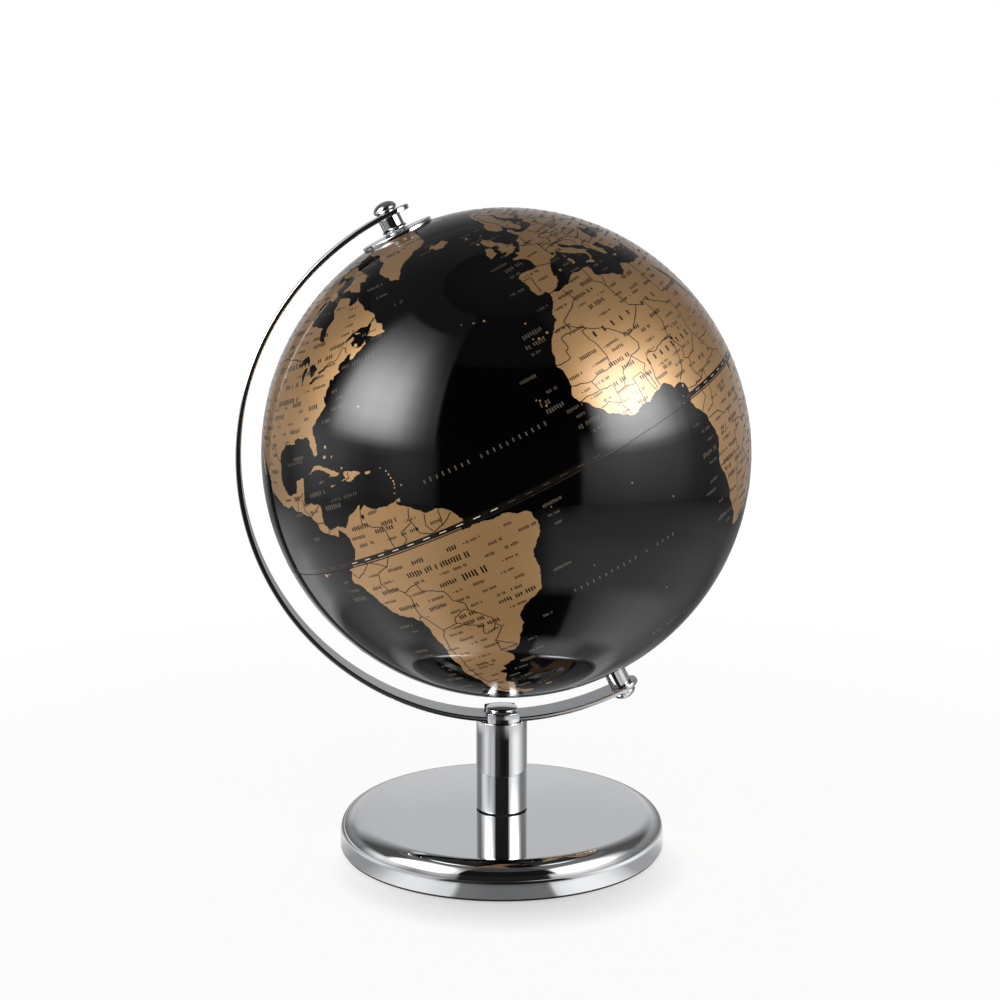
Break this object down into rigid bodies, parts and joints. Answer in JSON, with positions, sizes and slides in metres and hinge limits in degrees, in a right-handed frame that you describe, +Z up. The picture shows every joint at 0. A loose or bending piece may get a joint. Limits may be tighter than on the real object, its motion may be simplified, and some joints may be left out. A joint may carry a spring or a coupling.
{
  "type": "desktop globe",
  "caption": "Desktop globe: a map ball turning on a tilted polar axis in a half-ring arm, on a short column with a round weighted base.",
  "frame": {"origin": "centre of the underside of the base, on the column's axis, where the pad meets the table", "axes": "+Z up along the column; the front of the globe faces -Y and the north pole leans toward -X"},
  "size_m": [0.2134, 0.2032, 0.2735],
  "materials": {
    "chrome": "mirror plated",
    "cast_iron": "rough, painted black",
    "zinc_steel": "zinc plated",
    "pad_black": "matte foam",
    "nylon": "matte",
    "bush_black": "satin",
    "ball_shell": "gloss",
    "map_ocean": "gloss lacquer",
    "map_gold": "metallic foil under lacquer",
    "map_ink": "printed line under lacquer"
  },
  "bodies": {
    "stand": {"base_pad": "pad_black", "base_cover": "chrome", "base_weight": "cast_iron", "base_washer": "zinc_steel", "base_nut": "zinc_steel", "tie_rod": "zinc_steel", "column_foot": "zinc_steel", "column_tube": "chrome", "column_neck": "chrome", "arm_cap_nut": "chrome", "meridian_arm": "chrome", "pivot_screw_north": "chrome", "pivot_screw_south": "chrome", "pivot_sleeve_north": "chrome", "pivot_sleeve_south": "chrome", "thrust_washer_north": "nylon", "thrust_washer_south": "nylon"},
    "globe": {"pole_flange_north": "chrome", "pole_bush_north": "bush_black", "pole_bush_south": "bush_black", "hemisphere_north": "ball_shell", "hemisphere_south": "ball_shell", "equator_hoop": "ball_shell", "map_film_north": "map_ocean", "map_film_south": "map_ocean"}
  },
  "joints": [
    {"name": "globe_spin", "type": "hinge", "parent": "stand", "child": "globe", "pos_m": [0.0019, 0, 0.1694], "axis": [-0.4415, 0, 0.8973], "continuous": true}
  ]
}
